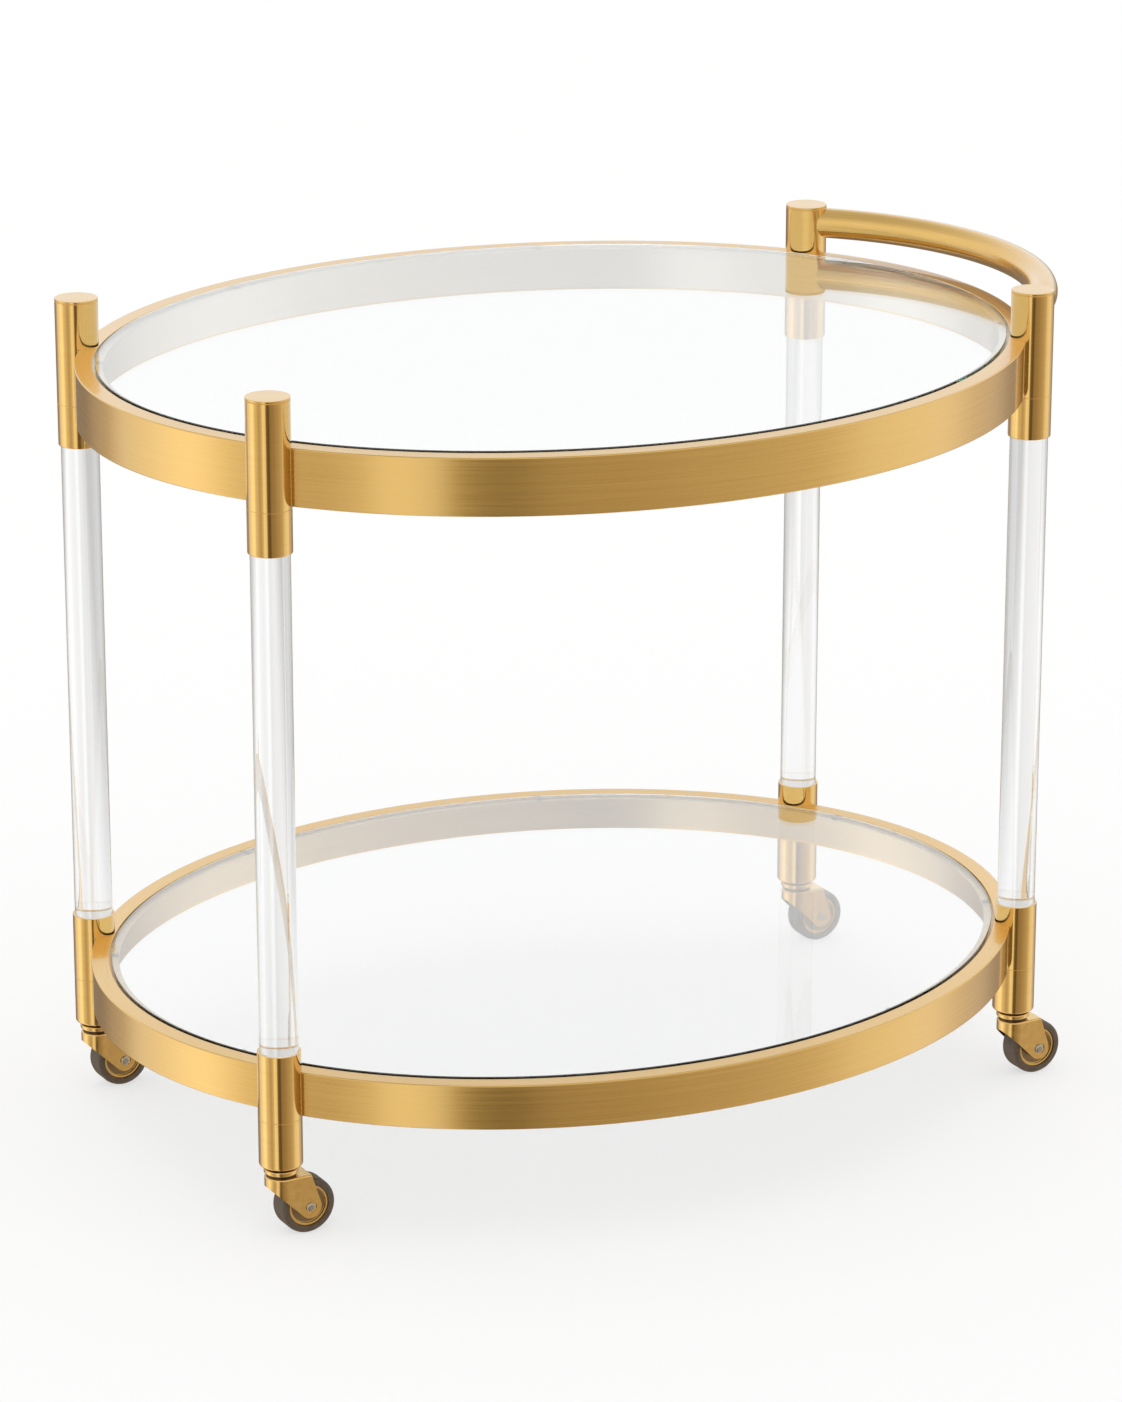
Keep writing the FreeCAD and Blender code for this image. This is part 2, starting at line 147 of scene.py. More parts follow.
# ======== surfaces ========
def softened(corners, closed):
    """A profile with rounded corners. Each corner is (across, up, radius) and becomes a short arc that
    touches both its sides; radius 0 keeps it sharp. The arc's centre lies on the corner's bisector at
    radius / sin(half the corner's angle), and its points sweep evenly between the two touching points."""
    points = []
    count = len(corners)
    for index, (across, up, radius) in enumerate(corners):
        here = np.array([across, up])
        at_end = not closed and index in (0, count - 1)
        if radius == 0 or at_end:
            points.append(here[None])
            continue
        to_last = np.array(corners[index - 1][:2]) - here
        to_next = np.array(corners[(index + 1) % count][:2]) - here
        to_last /= np.linalg.norm(to_last)
        to_next /= np.linalg.norm(to_next)
        bisector = (to_last + to_next) / np.linalg.norm(to_last + to_next)
        half_angle = math.acos(np.clip(to_last @ to_next, -1, 1)) / 2
        centre = here + bisector * radius / math.sin(half_angle)
        start = here + to_last * radius / math.tan(half_angle) - centre
        end = here + to_next * radius / math.tan(half_angle) - centre
        sweep = math.atan2(start[0] * end[1] - start[1] * end[0], start @ end)
        turn = np.linspace(0, sweep, arc_steps + 1)[:, None]
        normal_to_start = np.array([-start[1], start[0]])
        points.append(centre + start * np.cos(turn) + normal_to_start * np.sin(turn))
    return np.concatenate(points)


def running_length(points, closed):
    """The distance along a chain of points, starting at 0, with the closing step added if it is closed."""
    chain = np.concatenate([points, points[:1]]) if closed else points
    return np.concatenate([[0], np.cumsum(np.linalg.norm(np.diff(chain, axis=0), axis=1))])


def turned(profile, spot, closed, upright=True, columns=round_post_columns):
    """A lathe-turned surface: each profile point (radius, height) goes once round the axis at spot, at
    radius times cosine and sine of the turn. The axis is upright, or along Y for a wheel."""
    turn = np.arange(columns) * math.tau / columns
    radius = profile[:, 0][:, None]
    height = np.broadcast_to(profile[:, 1][:, None], (len(profile), columns))
    across, along = radius * np.cos(turn), radius * np.sin(turn)
    if upright:
        points = np.stack([spot[0] + across, spot[1] + along, spot[2] + height], axis=2)
    else:
        points = np.stack([spot[0] + along, spot[1] + height, spot[2] + across], axis=2)
    return {"points": points, "wrap_rows": closed, "wrap_columns": True,
            "row_length": running_length(profile, closed),
            "column_length": np.linspace(0, math.tau * profile[:, 0].max(), columns + 1)}


def carried_round_hoop(profile, closed):
    """A profile of (inset, height) carried round the hoops' oval: at each turn, x and y are the oval's
    half lengths less the inset, times the cosine and sine of the turn."""
    turn = np.arange(hoop_columns) * math.tau / hoop_columns
    inset = profile[:, 0][:, None]
    points = np.stack([hoop_middle[0] + (hoop_half[0] - inset) * np.cos(turn),
                       hoop_middle[1] + (hoop_half[1] - inset) * np.sin(turn),
                       np.broadcast_to(profile[:, 1][:, None], (len(profile), hoop_columns))], axis=2)
    outline = np.stack([hoop_half[0] * np.cos(turn), hoop_half[1] * np.sin(turn)], axis=1)
    return {"points": points, "wrap_rows": closed, "wrap_columns": True,
            "row_length": running_length(profile, closed),
            "column_length": running_length(outline, True)}


def mesh_of(name, surfaces):
    """One mesh from several grid surfaces. A face joins each point to its neighbours in the next row and
    column, and the UV map holds the lengths along the columns and rows in metres. Points that fall
    together at a pole are merged, and a surface that came out inside out is turned."""
    vertices, faces, coordinates, first = [], [], [], 0
    for surface in surfaces:
        points = surface["points"]
        rows, columns = points.shape[:2]
        last_row = rows if surface["wrap_rows"] else rows - 1
        last_column = columns if surface["wrap_columns"] else columns - 1
        row, column = np.indices((last_row, last_column))
        next_row, next_column = (row + 1) % rows, (column + 1) % columns
        quads = np.stack([row * columns + column, row * columns + next_column,
                          next_row * columns + next_column, next_row * columns + column], axis=2)
        quads = quads.reshape(-1, 4)
        along = surface["column_length"]
        up = surface["row_length"]
        u = np.stack([along[column], along[column + 1], along[column + 1], along[column]], axis=2)
        v = np.stack([up[row], up[row], up[row + 1], up[row + 1]], axis=2)
        corner = points.reshape(-1, 3)[quads]
        first_side, diagonal, last_side = (corner[:, index] - corner[:, 0] for index in (1, 2, 3))
        volume = np.einsum("ij,ij->i", corner[:, 0] - corner[0, 0],
                           np.cross(first_side, diagonal) + np.cross(diagonal, last_side)).sum()
        uv = np.stack([u, v], axis=3).reshape(-1, 4, 2)
        if volume < 0:
            quads, uv = quads[:, ::-1], uv[:, ::-1]
        vertices.append(points.reshape(-1, 3))
        faces.append(quads + first)
        coordinates.append(uv)
        first += rows * columns
    vertices, faces = np.concatenate(vertices), np.concatenate(faces)
    mesh = bpy.data.meshes.new(name)
    mesh.vertices.add(len(vertices))
    mesh.vertices.foreach_set("co", vertices.astype(np.float32).ravel())
    mesh.loops.add(faces.size)
    mesh.loops.foreach_set("vertex_index", faces.astype(np.int32).ravel())
    mesh.polygons.add(len(faces))
    mesh.polygons.foreach_set("loop_start", np.arange(len(faces), dtype=np.int32) * 4)
    mesh.update(calc_edges=True)
    uv_map = mesh.uv_layers.new(name="UVMap")
    uv_map.data.foreach_set("uv", np.concatenate(coordinates).astype(np.float32).ravel())
    work = bmesh.new()
    work.from_mesh(mesh)
    bmesh.ops.remove_doubles(work, verts=work.verts, dist=merge_distance)
    work.to_mesh(mesh)
    work.free()
    mesh.polygons.foreach_set("use_smooth", np.ones(len(mesh.polygons), dtype=bool))
    mesh.set_sharp_from_angle(angle=sharp_angle)
    return mesh


def piece(name, surfaces, finish, body, nodes):
    """A finished piece that rides on a body and stands for the CAD nodes it replaces."""
    made = bpy.data.objects.new(name, mesh_of(name, surfaces))
    made.data.materials.append(finish)
    bpy.context.scene.collection.objects.link(made)
    shading = made.modifiers.new("flat faces stay flat", "WEIGHTED_NORMAL")
    shading.keep_sharp = True
    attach(made, body)
    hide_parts(*nodes)
    return made


def finish_node(name, finish):
    """A CAD node that keeps its own mesh gets its finished material."""
    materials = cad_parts[name].data.materials
    materials.clear()
    materials.append(finish)


# ======== node helpers ========
def new_material(name):
    """An empty material, its node tree and its output."""
    material = bpy.data.materials.new(name)
    material.use_nodes = True
    tree = material.node_tree
    tree.nodes.clear()
    return material, tree, tree.nodes.new("ShaderNodeOutputMaterial")


def add(tree, kind, links=None, **settings):
    """A node with its settings made and its inputs linked or set. An input's key is its name or number."""
    node = tree.nodes.new(kind)
    for key, value in settings.items():
        setattr(node, key, value)
    for key, value in (links or {}).items():
        if isinstance(value, bpy.types.NodeSocket):
            tree.links.new(value, node.inputs[key])
        else:
            node.inputs[key].default_value = value
    return node


def math_node(tree, operation, first, second=0.0):
    """The result of one sum."""
    return add(tree, "ShaderNodeMath", {0: first, 1: second}, operation=operation).outputs[0]


def between(tree, value, from_low, from_high, to_low, to_high):
    """A value moved from one range to another, and kept inside it."""
    node = add(tree, "ShaderNodeMapRange", {"Value": value, "From Min": from_low, "From Max": from_high,
                                            "To Min": to_low, "To Max": to_high})
    return node.outputs["Result"]


def colour_mix(tree, factor, first, second):
    """A colour between two others."""
    node = add(tree, "ShaderNodeMix", {"Factor": factor}, data_type="RGBA")
    for socket, value in ((node.inputs[6], first), (node.inputs[7], second)):
        if isinstance(value, bpy.types.NodeSocket):
            tree.links.new(value, socket)
        else:
            socket.default_value = value
    return node.outputs[2]


def stretched_noise(tree, vector, scale, detail):
    """Noise stretched by a scale for each axis: few marks along a small scale, many across a large one."""
    mapping = add(tree, "ShaderNodeMapping", {"Vector": vector, "Scale": scale})
    noise = add(tree, "ShaderNodeTexNoise", {"Vector": mapping.outputs[0], "Scale": 1.0, "Detail": detail,
                                             "Roughness": 0.55})
    return noise.outputs[0]


# ======== finishes ========
BRASS = (0.83, 0.53, 0.152, 1)
BRASS_DEEP = (0.75, 0.46, 0.115, 1)


def brass(name, grain, rough, anisotropy, grain_depth, tones=(BRASS_DEEP, BRASS)):
    """Lacquered brass whose fine marks run along the UV map's first axis. grain is the number of marks
    per metre along and across, and rough the least and greatest roughness."""
    material, tree, output = new_material(name)
    uv = add(tree, "ShaderNodeUVMap", uv_map="UVMap").outputs[0]
    marks = stretched_noise(tree, uv, (grain[0], grain[1], 1), 4.0)
    broad = stretched_noise(tree, uv, (grain[0] * 0.35, grain[1] * 0.12, 1), 2.0)
    both = math_node(tree, "ADD", math_node(tree, "MULTIPLY", marks, 0.65),
                     math_node(tree, "MULTIPLY", broad, 0.35))
    colour = colour_mix(tree, between(tree, both, 0.35, 0.65, 0, 1), *tones)
    bump = add(tree, "ShaderNodeBump", {"Height": both, "Strength": grain_depth, "Distance": 0.0002})
    shader = add(tree, "ShaderNodeBsdfPrincipled", {
        "Base Color": colour, "Metallic": 1.0, "Roughness": between(tree, both, 0.3, 0.7, rough[0], rough[1]),
        "Normal": bump.outputs[0], "Anisotropic": anisotropy, "Anisotropic Rotation": 0.25,
        "Tangent": add(tree, "ShaderNodeTangent", direction_type="UV_MAP", uv_map="UVMap").outputs[0],
        "Coat Weight": 1.0, "Coat Roughness": 0.06, "Coat IOR": 1.5})
    tree.links.new(shader.outputs[0], output.inputs[0])
    return material


def pressed_brass(name, rough):
    """Plated brass for pieces with no UV map: faint clouding in space, read from Object coordinates."""
    material, tree, output = new_material(name)
    place = add(tree, "ShaderNodeTexCoord").outputs["Object"]
    cloud = stretched_noise(tree, place, (180, 180, 180), 3.0)
    colour = colour_mix(tree, between(tree, cloud, 0.35, 0.65, 0, 1), BRASS_DEEP, BRASS)
    bump = add(tree, "ShaderNodeBump", {"Height": cloud, "Strength": 0.05, "Distance": 0.0002})
    shader = add(tree, "ShaderNodeBsdfPrincipled", {
        "Base Color": colour, "Metallic": 1.0,
        "Roughness": between(tree, cloud, 0.3, 0.7, rough[0], rough[1]),
        "Normal": bump.outputs[0], "Coat Weight": 1.0, "Coat Roughness": 0.05, "Coat IOR": 1.5})
    tree.links.new(shader.outputs[0], output.inputs[0])
    return material


def see_through(name, tint, ior, specular, coat, coat_ior=1.5):
    """Clear glass or acrylic that lets lamps through, so that it doesn't darken what stands under it."""
    material, tree, output = new_material(name)
    shader = add(tree, "ShaderNodeBsdfPrincipled", {
        "Base Color": tint, "Transmission Weight": 1.0, "Roughness": 0.0, "IOR": ior,
        "Specular IOR Level": specular, "Coat Weight": coat, "Coat Roughness": 0.0, "Coat IOR": coat_ior})
    clear = add(tree, "ShaderNodeBsdfTransparent", {"Color": (0.99, 0.995, 0.992, 1)})
    shadow = add(tree, "ShaderNodeLightPath").outputs["Is Shadow Ray"]
    mixed = add(tree, "ShaderNodeMixShader", {0: shadow, 1: shader.outputs[0], 2: clear.outputs[0]})
    tree.links.new(mixed.outputs[0], output.inputs[0])
    return material, tree, output


def shelf_glass():
    """Clear float glass. Light that runs far through it, as at the edge, comes out dark green."""
    material, tree, output = see_through("shelf_glass", (1, 1, 1, 1), 1.52, 0.8, 1.0, 1.8)
    absorb = add(tree, "ShaderNodeVolumeAbsorption", {"Color": (0.22, 0.62, 0.46, 1), "Density": 4.0})
    tree.links.new(absorb.outputs[0], output.inputs["Volume"])
    return material


def tyre_rubber():
    """Grey-brown rubber with a faint mottle and a soft shine."""
    material, tree, output = new_material("tyre_rubber")
    place = add(tree, "ShaderNodeTexCoord").outputs["Object"]
    mottle = stretched_noise(tree, place, (300, 300, 300), 4.0)
    colour = colour_mix(tree, between(tree, mottle, 0.3, 0.7, 0, 1), (0.066, 0.042, 0.023, 1),
                        (0.105, 0.070, 0.039, 1))
    bump = add(tree, "ShaderNodeBump", {"Height": mottle, "Strength": 0.12, "Distance": 0.0003})
    shader = add(tree, "ShaderNodeBsdfPrincipled", {
        "Base Color": colour, "Roughness": between(tree, mottle, 0.3, 0.7, 0.38, 0.52),
        "Normal": bump.outputs[0]})
    tree.links.new(shader.outputs[0], output.inputs[0])
    return material


def bright_metal(name, colour, rough, rings):
    """Turned bright metal with rings a fraction of a millimetre apart."""
    material, tree, output = new_material(name)
    place = add(tree, "ShaderNodeTexCoord").outputs["Object"]
    marks = stretched_noise(tree, place, (rings, rings, rings), 3.0)
    darker = tuple(part * 0.82 for part in colour[:3]) + (1,)
    shader = add(tree, "ShaderNodeBsdfPrincipled", {
        "Base Color": colour_mix(tree, between(tree, marks, 0.35, 0.65, 0, 1), darker, colour),
        "Metallic": 1.0, "Roughness": between(tree, marks, 0.3, 0.7, rough * 0.8, rough * 1.25)})
    tree.links.new(shader.outputs[0], output.inputs[0])
    return material


hoop_brass = brass("hoop_brass", (9, 3200), (0.24, 0.36), 0.75, 0.10)
turned_brass = brass("turned_brass", (25, 5200), (0.08, 0.14), 0.2, 0.04)
cap_brass = brass("cap_brass", (14, 4200), (0.14, 0.22), 0.60, 0.10)
handle_brass = brass("handle_brass", (1800, 14), (0.20, 0.30), 0.35, 0.04)
caster_brass = brass("caster_brass", (25, 4000), (0.14, 0.24), 0.2, 0.04)
fork_brass = pressed_brass("fork_brass", (0.15, 0.25))
# The hub's face is dark brown brass: painted shade for its place deep between the fork's plates. Its rim
# keeps the plain brass.
hub_painted_shade = brass("hub_brass", (30, 3800), (0.30, 0.45), 0.4, 0.06,
                 ((0.20, 0.125, 0.045, 1), (0.30, 0.19, 0.07, 1)))
hub_rim_brass = brass("hub_rim_brass", (30, 3800), (0.16, 0.26), 0.3, 0.05)
# The ledges are the hoops' brass made paler, the top one nearly white: a painted reflection of the white veil
# that the glass over them throws back.
ledge_painted_veil = {
    "top": brass("ledge_painted_white_veil", (9, 2600), (0.30, 0.42), 0.5, 0.06,
                 ((0.72, 0.66, 0.56, 1), (0.84, 0.78, 0.68, 1))),
    "bottom": brass("ledge_gold_painted_veil", (9, 2600), (0.30, 0.42), 0.5, 0.06,
                    ((0.62, 0.45, 0.24, 1), (0.74, 0.56, 0.32, 1)))}
clear_acrylic, _, _ = see_through("clear_acrylic", (0.96, 0.965, 0.965, 1), 1.49, 0.5, 1.0, 2.1)
glass = shelf_glass()
rubber = tyre_rubber()
seat_metal = bright_metal("seat_aluminium", (0.80, 0.79, 0.77, 1), 0.22, 2500)
rivet_metal = bright_metal("rivet_steel", (0.50, 0.45, 0.36, 1), 0.22, 2500)
# Near-black metal for the caster necks and lower races: painted shade for the dark gaps between the foot
# collar, the race cups and the fork crown.
painted_shade_metal = bright_metal("caster_painted_shade", (0.085, 0.062, 0.035, 1), 0.3, 1800)
screw_metal = bright_metal("screw_steel", (0.55, 0.55, 0.56, 1), 0.35, 1500)
silicone, _, _ = see_through("clear_silicone", (0.93, 0.94, 0.94, 1), 1.41, 0.5, 0.0)


# ======== shelves ========
def make_hoop(shelf):
    """A channel-section band, open towards the inside, with rounded outside edges."""
    node = f"{shelf}_hoop"
    ledge = f"{shelf}_glass_ledge"
    bottom, top = low(node)[2], high(node)[2]
    wall = half_size(node)[0] - half_size(ledge)[0] + band_gauge
    profile = softened([(0, bottom, hoop_edge), (wall, bottom, hoop_edge / 2), (wall, bottom + band_gauge, 0),
                        (band_gauge, bottom + band_gauge, 0), (band_gauge, top - band_gauge, 0),
                        (wall, top - band_gauge, 0), (wall, top, hoop_edge / 2), (0, top, hoop_edge)], True)
    piece(node, [carried_round_hoop(profile, True)], hoop_brass, "frame", [node])


def make_ledge(shelf):
    """The angle ring that closes the channel, with its flange under the glass, in brass whitened by a painted
    reflection of the glass's veil.
    """
    node = f"{shelf}_glass_ledge"
    outer = half_size(f"{shelf}_hoop")[0] - half_size(node)[0]
    wall = outer + band_gauge
    flange = wall + ledge_width
    bottom, top = low(node)[2], high(node)[2]
    flange_top = low(f"{shelf}_glass_bumpers")[2]
    profile = softened([(outer, bottom, 0), (wall, bottom, 0), (wall, flange_top - band_gauge, 0),
                        (flange, flange_top - band_gauge, fine_edge), (flange, flange_top, fine_edge),
                        (wall, flange_top, 0), (wall, top, 0), (outer, top, 0)], True)
    piece(node, [carried_round_hoop(profile, True)], ledge_painted_veil[shelf], "frame",
          [node])


def make_glass(shelf):
    """An oval pane with eased edges, closed at its middle on both faces."""
    node = f"{shelf}_glass"
    inset = half_size(f"{shelf}_hoop")[0] - half_size(node)[0]
    bottom, top = low(node)[2], high(node)[2]
    edge = softened([(1, bottom, 0), (inset, bottom, glass_edge), (inset, top, glass_edge), (1, top, 0)],
                    False)
    surface = carried_round_hoop(edge[1:-1], False)
    centre = np.broadcast_to([hoop_middle[0], hoop_middle[1], 0.0], (1, hoop_columns, 3))
    first = centre + [0, 0, bottom]
    last = centre + [0, 0, top]
    surface["points"] = np.concatenate([first, surface["points"], last])
    surface["row_length"] = np.concatenate([[-hoop_half[0]], surface["row_length"],
                                            [surface["row_length"][-1] + hoop_half[0]]])
    piece(node, [surface], glass, "frame", [node])


def make_bumpers(shelf):
    """Clear discs with eased tops in a ring under the glass, evenly spaced by the oval's turn."""
    node = f"{shelf}_glass_bumpers"
    bottom, top = low(node)[2], high(node)[2] - film
    turn = math.tau * (np.arange(bumper_count) + 0.5) / bumper_count
    reach = (half_size(node)[:2] - bumper_radius) / math.cos(turn[0])
    profile = softened([(0, bottom, 0), (bumper_radius, bottom, 0), (bumper_radius, top, bumper_edge),
                        (0, top, 0)], False)
    spots = [(hoop_middle[0] + reach[0] * math.cos(angle), reach[1] * math.sin(angle), 0) for angle in turn]
    piece(node, [turned(profile, spot, False, columns=small_columns) for spot in spots], silicone,
          "frame", [node])


for shelf in ("top", "bottom"):
    make_hoop(shelf)
    make_ledge(shelf)
    make_glass(shelf)
    make_bumpers(shelf)


# ======== legs ========
def post_ground(corner):
    """The point on the floor under a post."""
    return middle(f"{corner}_post_cap") * (1, 1, 0)


def hoop_reach(spot, turn):
    """How far it is from a post's axis to the hoop's outside face, in each direction: the nearer root of
    the quadratic for a ray and the oval, or infinity where the ray misses it."""
    from_middle = (spot[:2] - hoop_middle[:2]) / hoop_half[:2]
    way = np.stack([np.cos(turn), np.sin(turn)], axis=1) / hoop_half[:2]
    square = (way ** 2).sum(axis=1)
    cross = way @ from_middle
    rest = from_middle @ from_middle - 1
    inside = cross ** 2 - square * rest
    hits = (inside > 0) & (cross < 0)
    root = (-cross - np.sqrt(np.where(hits, inside, 0))) / square
    return np.where(hits, root, np.inf)


def notched(profile, spot, notch):
    """A turned surface cut back to the hoop's outside face between two heights. Two rows are added at each
    height of the notch: one at the post's radius, and one at the smaller of that radius and the hoop's
    distance. Columns are added where the hoop's face crosses the post's side."""
    many = np.linspace(0, math.tau, notch_samples)
    crosses = hoop_reach(spot, many) < post_radius
    edges = many[1:][crosses[1:] != crosses[:-1]]
    turn = np.sort(np.concatenate([np.arange(round_post_columns) * math.tau / round_post_columns, edges]))
    cut = np.minimum(post_radius, hoop_reach(spot, turn))
    lower, upper = notch
    on_side = profile[:, 0] > post_radius - merge_distance
    before = profile[(profile[:, 1] < lower) & on_side][-1:]
    index = int(np.flatnonzero((profile == before[0]).all(axis=1))[-1]) + 1
    radius = profile[:, 0][:, None] * np.ones(len(turn))
    height = profile[:, 1]
    plain = np.full(len(turn), post_radius)
    radius = np.concatenate([radius[:index], [plain, cut, cut, plain], radius[index:]])
    height = np.concatenate([height[:index], [lower, lower, upper, upper], height[index:]])
    points = np.stack([spot[0] + radius * np.cos(turn), spot[1] + radius * np.sin(turn),
                       np.broadcast_to(height[:, None], radius.shape)], axis=2)
    chain = np.stack([radius.max(axis=1), height], axis=1)
    return {"points": points, "wrap_rows": False, "wrap_columns": True,
            "row_length": running_length(chain, False),
            "column_length": np.concatenate([turn, turn[:1] + math.tau]) * post_radius}


def make_leg(corner):
    """Cap, sleeves, socket, rod and foot of one leg, all turned about the post's axis."""
    ground = post_ground(corner)
    bore = post_radius - sleeve_wall

    node = f"{corner}_post_cap"
    bottom, top = low(node)[2], high(node)[2]
    shoulder = top - cap_disc
    neck = post_radius - cap_reveal_depth
    profile = softened([(0, bottom, 0), (bore, bottom, 0), (bore, shoulder - cap_reveal, 0),
                        (neck, shoulder - cap_reveal, 0), (neck, shoulder, 0),
                        (post_radius, shoulder, fine_edge), (post_radius, top, cap_edge),
                        (0, top, 0)], False)
    piece(node, [turned(profile, ground, False)], cap_brass, "frame", [node])

    node = f"{corner}_upper_sleeve"
    bottom, top = low(node)[2], high(node)[2]
    floor = high("upper_rod_screws")[2] - screw_head
    profile = softened([(0, bottom, 0), (post_radius, bottom, fine_edge), (post_radius, top, fine_edge),
                        (bore, top, 0), (bore, floor, 0), (0, floor, 0)], False)
    notch = (low("top_hoop")[2], high("top_hoop")[2])
    piece(node, [notched(profile, ground, notch)], turned_brass, "frame", [node])

    node = f"{corner}_rod_socket"
    bottom, top = low(node)[2], high(node)[2]
    mouth = rod_radius + rod_clearance
    rod_top = high(f"{corner}_acrylic_rod")[2]
    profile = softened([(mouth, bottom, fine_edge), (post_radius, bottom, mouth_edge),
                        (post_radius, top, fine_edge), (0, top, 0), (0, rod_top, 0),
                        (mouth, rod_top, 0)], True)
    piece(node, [turned(profile, ground, True)], turned_brass, "frame", [node])

    node = f"{corner}_acrylic_rod"
    bottom, top = low(node)[2], high(node)[2]
    profile = softened([(0, bottom, 0), (rod_radius, bottom, fine_edge), (rod_radius, top, fine_edge),
                        (0, top, 0)], False)
    piece(node, [turned(profile, ground, False)], clear_acrylic, "frame", [node])

    node = f"{corner}_lower_sleeve"
    bottom, top = low(node)[2], high(node)[2]
    recess = low("rod_seats")[2]
    profile = softened([(0, bottom, 0), (post_radius, bottom, fine_edge), (post_radius, top, fine_edge),
                        (mouth, top, fine_edge), (mouth, recess, 0), (0, recess, 0)], False)
    notch = (low("bottom_hoop")[2], high("bottom_hoop")[2])
    piece(node, [notched(profile, ground, notch)], turned_brass, "frame", [node])

    node = f"{corner}_foot_collar"
    bottom, top = low(node)[2], high(node)[2]
    stem_top = high("caster_stems")[2]
    profile = softened([(0, stem_top, 0), (stem_radius, stem_top, 0), (stem_radius, bottom, 0),
                        (post_radius, bottom, foot_edge), (post_radius, top, fine_edge), (0, top, 0)], False)
    piece(node, [turned(profile, ground, False)], turned_brass, "frame", [node])


for corner in CORNERS:
    make_leg(corner)


def make_rod_seats():
    """The bright discs that show at the lower mouths. Each reaches a tenth of a millimetre into the rod, so
    that light in the rod meets metal and not a film of air."""
    bottom, top = low("rod_seats")[2], high("rod_seats")[2] + bond
    profile = softened([(0, bottom, 0), (rod_radius, bottom, fine_edge), (rod_radius, top, fine_edge),
                        (0, top, 0)], False)
    piece("rod_seats", [turned(profile, post_ground(corner), False) for corner in CORNERS], seat_metal,
          "frame", ["rod_seats"])


make_rod_seats()


# ======== push bar ========
def make_handle():
    """A bent tube along an arc in plan. Its centre line passes over both right-hand posts' axes. Round the
    section, each line of the tube starts and ends where it meets a post's side: at the turn from the
    post's direction whose cosine is (post distance squared + line radius squared - post radius squared)
    over twice the product of the distances."""
    reach = high("handle_bar")
    radius = half_size("handle_bar")[2]
    post = post_ground("back_right")
    bow = reach[0] - radius - post[0]
    arc = (post[1] ** 2 + bow ** 2) / (2 * bow)
    centre = np.array([reach[0] - radius - arc, 0, middle("handle_bar")[2]])
    to_post = np.hypot(*(post - centre)[:2])
    post_turn = math.atan2(post[1], post[0] - centre[0])
    section = np.arange(handle_columns) * math.tau / handle_columns
    share = np.linspace(-1, 1, handle_rows)
    layers = []
    for tube_radius, direction in ((radius, 1), (radius - handle_wall, -1)):
        line = arc + tube_radius * np.cos(section)
        cosine = (to_post ** 2 + line ** 2 - post_radius ** 2) / (2 * to_post * line)
        end = post_turn - np.arccos(np.clip(cosine, -1, 1))
        turn = direction * share[:, None] * end[None]
        layers.append(np.stack([centre[0] + line * np.cos(turn), line * np.sin(turn),
                                centre[2] + tube_radius * np.sin(section) + 0 * turn], axis=2))
    points = np.concatenate(layers)
    length = running_length(points[:, handle_columns // 4], True)
    surface = {"points": points, "wrap_rows": True, "wrap_columns": True, "row_length": length,
               "column_length": np.linspace(0, math.tau * radius, handle_columns + 1)}
    piece("handle_bar", [surface], handle_brass, "frame", ["handle_bar"])


make_handle()


# ======== casters ========
def make_stems():
    """The four fixed pivots: threaded stem, neck, kingpin and riveted head under the fork, in near-black
    metal that is painted shade for the dark gap at the neck.
    """
    top, bottom = high("caster_stems")[2], low("caster_stems")[2]
    foot = low("front_left_foot_collar")[2]
    cup_top = high("caster_race_cups")[2]
    head_top = bottom + kingpin_head
    profile = softened([(0, top, 0), (stem_radius, top, stem_edge), (stem_radius, foot, 0),
                        (neck_radius, foot, 0), (neck_radius, cup_top, 0), (kingpin_radius, cup_top, 0),
                        (kingpin_radius, head_top, 0), (kingpin_head_radius, head_top, 0),
                        (kingpin_head_radius, bottom, kingpin_head_edge), (0, bottom, 0)], False)
    piece("caster_stems", [turned(profile, post_ground(corner), False) for corner in CORNERS], painted_shade_metal,
          "frame", ["caster_stems"])


def make_race_cups():
    """The four fixed upper races, plain rings with rounded edges round the kingpins."""
    bottom, top = low("caster_race_cups")[2], high("caster_race_cups")[2]
    outer = (half_size("caster_race_cups")[0] - half_size("caster_stems")[0]) + neck_radius
    profile = softened([(kingpin_radius, bottom, 0), (outer, bottom, race_edge), (outer, top, race_edge),
                        (kingpin_radius, top, 0)], True)
    piece("caster_race_cups", [turned(profile, post_ground(corner), True) for corner in CORNERS],
          caster_brass, "frame", ["caster_race_cups"])


